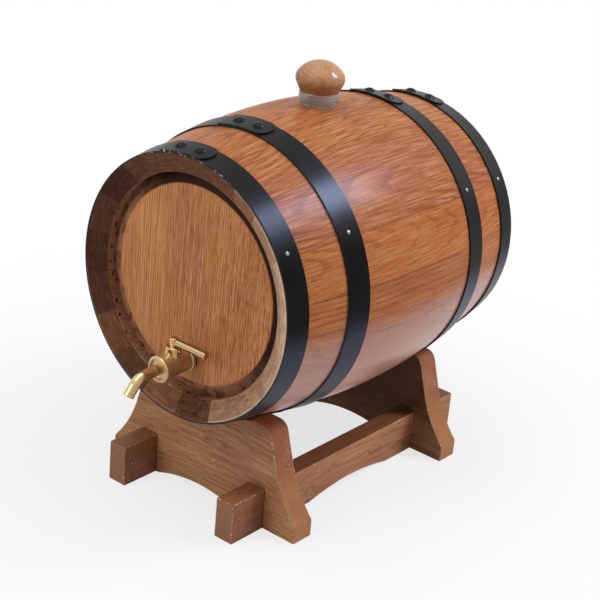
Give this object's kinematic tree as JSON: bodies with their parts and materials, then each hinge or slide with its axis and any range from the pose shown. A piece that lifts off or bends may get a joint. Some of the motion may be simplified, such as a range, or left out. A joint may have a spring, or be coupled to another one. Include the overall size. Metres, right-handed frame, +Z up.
{
  "type": "cask drink dispenser",
  "caption": "Small oak cask with black hoops, brass tap and wooden bung, lying on a cradle stand. The tap turns, the bung pulls out and the cask lifts off.",
  "frame": {"origin": "on the floor under the middle of the whole outline seen from above", "axes": "+Z up, -Y the way the tap points along the cask, +X across the stand, the way the closed lever points"},
  "size_m": [0.226, 0.3222, 0.3243],
  "materials": {
    "stave_oak": "varnished, semi-gloss",
    "head_oak": "varnished, satin",
    "stand_wood": "oiled, satin",
    "bung_wood": "turned and varnished",
    "dowel_wood": "bare",
    "hoop_steel": "black, semi-gloss",
    "rivet_steel": "black, semi-gloss",
    "nail_steel": "bright",
    "silicone": "translucent silicone, satin",
    "tap_brass": "polished",
    "seal_rubber": "matte",
    "screw_steel": "zinc plated"
  },
  "bodies": {
    "stand": {"front_cradle": "stand_wood", "rear_cradle": "stand_wood", "left_rail": "stand_wood", "right_rail": "stand_wood", "stand_screws": "screw_steel"},
    "cask": {"bung_stave": "stave_oak", "front_bilge_hoop": "hoop_steel", "front_chime_hoop": "hoop_steel", "front_head_dowels": "dowel_wood", "front_head_left_board": "head_oak", "front_head_middle_board": "head_oak", "front_head_right_board": "head_oak", "hoop_nails": "nail_steel", "hoop_rivets": "rivet_steel", "rear_bilge_hoop": "hoop_steel", "rear_chime_hoop": "hoop_steel", "rear_head_dowels": "dowel_wood", "rear_head_left_board": "head_oak", "rear_head_middle_board": "head_oak", "rear_head_right_board": "head_oak", "stave_left_1": "stave_oak", "stave_left_2": "stave_oak", "stave_left_3": "stave_oak", "stave_left_4": "stave_oak", "stave_left_5": "stave_oak", "stave_left_6": "stave_oak", "stave_left_7": "stave_oak", "stave_left_8": "stave_oak", "stave_left_9": "stave_oak", "stave_right_1": "stave_oak", "stave_right_2": "stave_oak", "stave_right_3": "stave_oak", "stave_right_4": "stave_oak", "stave_right_5": "stave_oak", "stave_right_6": "stave_oak", "stave_right_7": "stave_oak", "stave_right_8": "stave_oak", "stave_right_9": "stave_oak", "tap_body": "tap_brass", "tap_bonnet": "tap_brass", "tap_gasket": "seal_rubber", "tap_lock_screw": "tap_brass", "tap_spout": "tap_brass", "tap_stem_seal": "seal_rubber"},
    "bung": {"bung_knob": "bung_wood", "bung_sleeve": "silicone"},
    "tap_key": {"tap_plug": "tap_brass", "tap_lever": "tap_brass"}
  },
  "joints": [
    {"name": "cask_lift", "type": "slide", "parent": "stand", "child": "cask", "axis": [0, 0, 1], "range_m": [0, 0.1]},
    {"name": "bung_pull", "type": "slide", "parent": "cask", "child": "bung", "axis": [0, 0, 1], "range_m": [0, 0.06]},
    {"name": "tap_turn", "type": "hinge", "parent": "cask", "child": "tap_key", "pos_m": [0, -0.11467, 0.12266], "axis": [0, 0, -1], "range_deg": [0, 90]}
  ]
}
